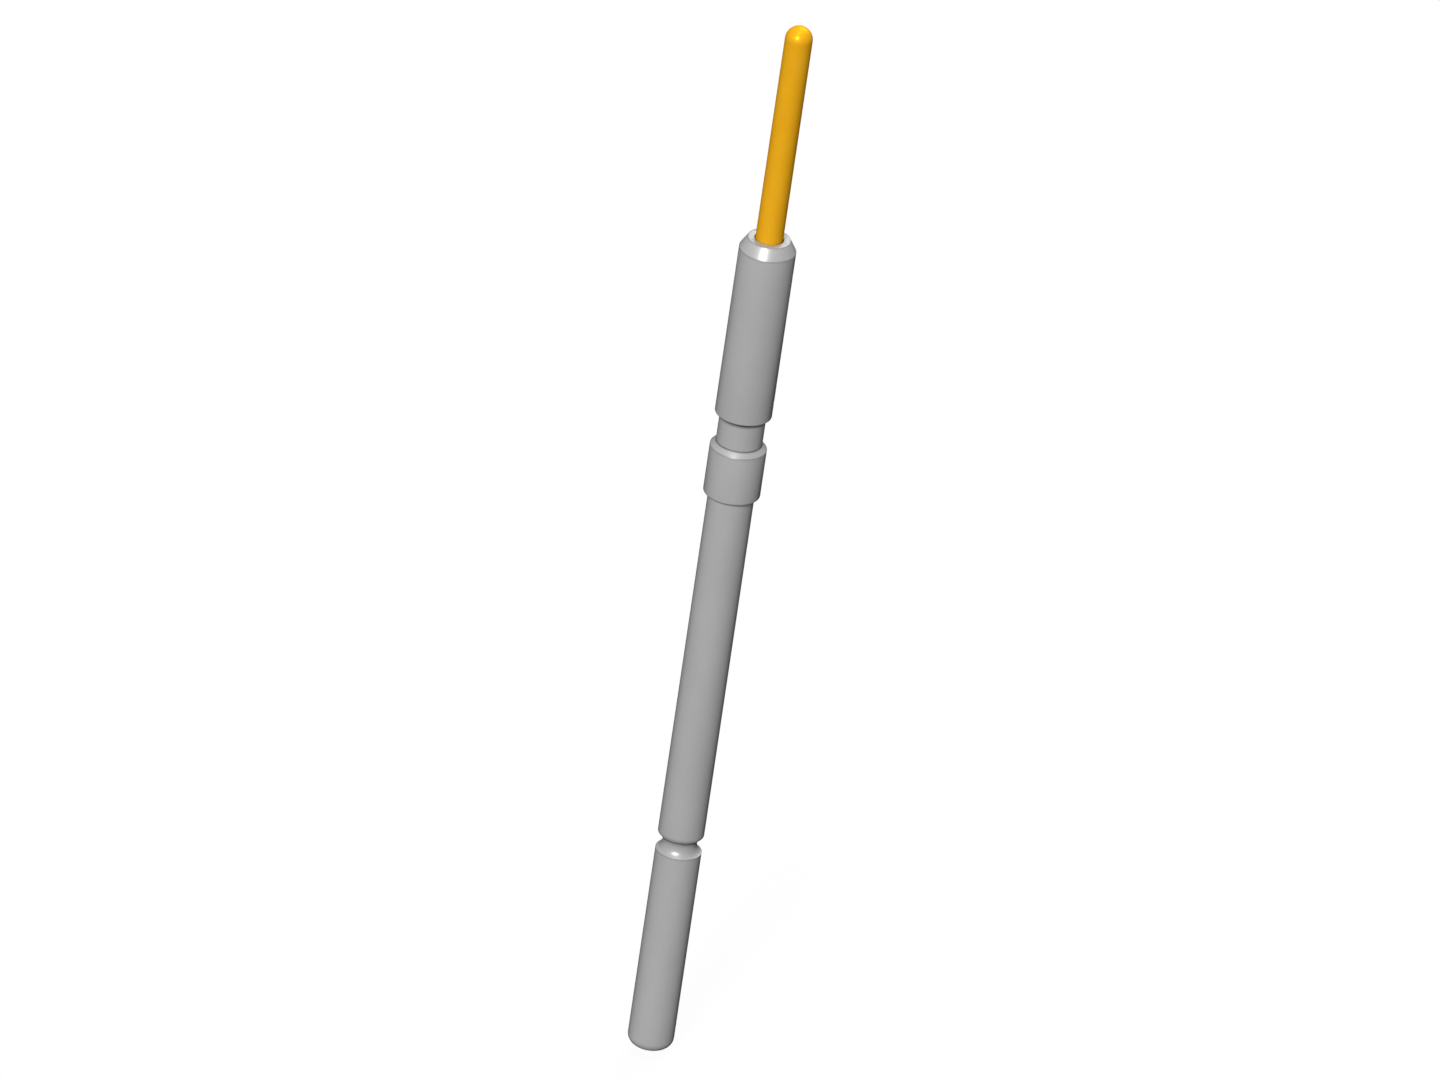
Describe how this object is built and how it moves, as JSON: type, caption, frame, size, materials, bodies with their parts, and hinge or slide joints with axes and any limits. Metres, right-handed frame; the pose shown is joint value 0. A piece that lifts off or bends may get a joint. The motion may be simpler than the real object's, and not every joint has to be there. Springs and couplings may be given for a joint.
{
  "type": "pogo pin",
  "caption": "Spring-loaded contact pin with a round-tipped gold plunger, a stepped turned barrel with a press-in collar, a groove and a plain round-ended tail.",
  "frame": {"origin": "centre of the press-in collar's lower shoulder, on the pin's axis", "axes": "+Z along the pin's axis towards the contact tip; the pin is round, so X and Y are any pair across it"},
  "size_m": [0.0016, 0.0016, 0.0338],
  "materials": {
    "barrel_metal": "satin nickel plating",
    "gold_plating": "smooth gold plating",
    "spring_steel": "drawn bright wire"
  },
  "bodies": {
    "barrel": {"barrel": "barrel_metal", "spring": "spring_steel"},
    "plunger": {"plunger": "gold_plating"}
  },
  "joints": [
    {"name": "plunger_slide", "type": "slide", "parent": "barrel", "child": "plunger", "axis": [0, 0, -1], "range_m": [0, 0.00635], "stiffness_N_per_m": 219, "springref_m": -0.0027, "deforming": ["spring"]}
  ]
}
